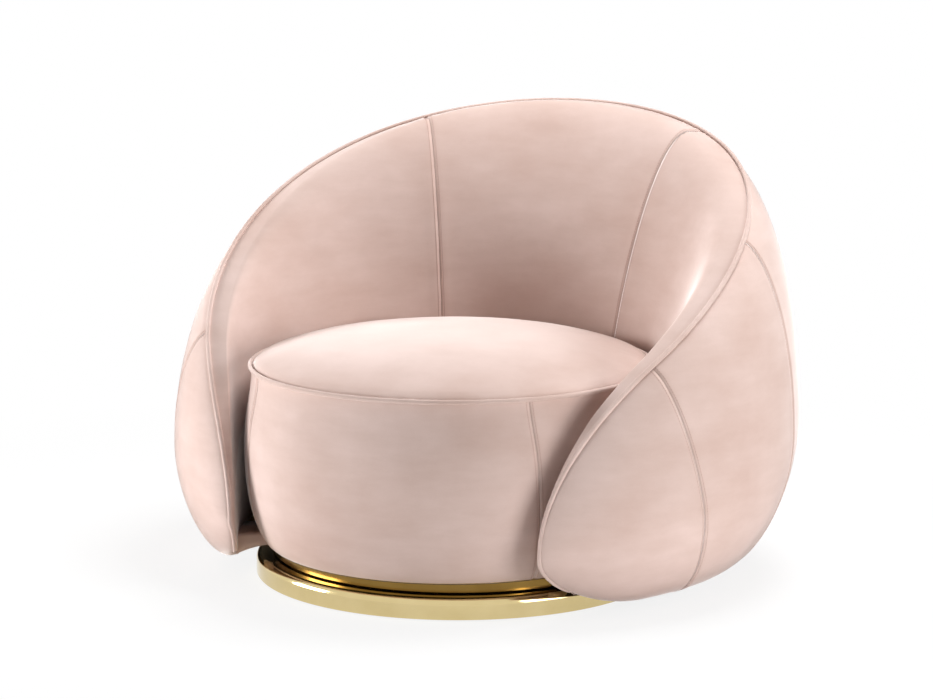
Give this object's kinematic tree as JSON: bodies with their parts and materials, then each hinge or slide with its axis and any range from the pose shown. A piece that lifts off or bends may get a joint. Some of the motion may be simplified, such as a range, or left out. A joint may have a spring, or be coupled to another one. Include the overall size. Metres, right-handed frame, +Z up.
{
  "type": "swivel armchair",
  "caption": "Upholstered swivel lounge chair: a round drum seat wrapped by a padded tub shell with a sloping welted rim, on a low round polished metal base.",
  "frame": {"origin": "on the floor, under the swivel axis", "axes": "+Z up along the swivel axis, -Y towards the front of the chair, +X towards the sitter's left"},
  "size_m": [1.117, 0.9969, 0.7756],
  "materials": {
    "polished_metal": "polished, gold tone",
    "plywood": "raw",
    "fibreboard": "raw",
    "glide_plastic": "matte",
    "steel": "zinc plated",
    "felt": "non-woven",
    "foam": "open-cell foam",
    "velvet": "short-pile velvet"
  },
  "bodies": {
    "base": {"base_pan": "polished_metal", "base_core": "plywood", "floor_glides": "glide_plastic", "glide_screws": "steel", "outer_race": "steel", "outer_race_screws": "steel"},
    "cage": {"ball_cage": "glide_plastic", "bearing_balls": "steel"},
    "seat": {"inner_race": "steel", "inner_race_bolts": "steel", "tee_nuts": "steel", "swivel_collar": "polished_metal", "collar_screws": "steel", "baseboard": "plywood", "dust_cover": "felt", "drum_posts": "plywood", "seat_hoop": "plywood", "drum_skin": "fibreboard", "seat_springs": "steel", "spring_clips": "steel", "spring_pad": "felt", "seat_foam": "foam", "drum_foam": "foam", "seat_cover": "velvet", "drum_front_panel": "velvet", "drum_side_panel_left": "velvet", "drum_side_panel_right": "velvet", "seat_welt": "velvet", "rim_rail": "plywood", "shell_ribs": "plywood", "rib_brackets": "steel", "rib_screws": "steel", "inner_liner": "fibreboard", "outer_liner": "fibreboard", "inner_back_foam": "foam", "inner_arm_foam_left": "foam", "inner_arm_foam_right": "foam", "arm_front_pad_left": "foam", "arm_front_pad_right": "foam", "outer_back_foam": "foam", "outer_side_foam_left": "foam", "outer_side_foam_right": "foam", "inner_back_panel": "velvet", "inner_arm_panel_left": "velvet", "inner_arm_panel_right": "velvet", "outer_back_panel": "velvet", "outer_side_panel_left": "velvet", "outer_side_panel_right": "velvet", "outer_front_panel_left": "velvet", "outer_front_panel_right": "velvet", "rim_welt": "velvet"}
  },
  "joints": [
    {"name": "swivel", "type": "hinge", "parent": "base", "child": "seat", "pos_m": [0, 0, 0], "axis": [0, 0, 1], "continuous": true},
    {"name": "cage_roll", "type": "hinge", "parent": "base", "child": "cage", "pos_m": [0, 0, 0], "axis": [0, 0, 1], "continuous": true}
  ],
  "couplings": [
    {"joint": "cage_roll", "follows": "swivel", "ratio": 0.5}
  ]
}
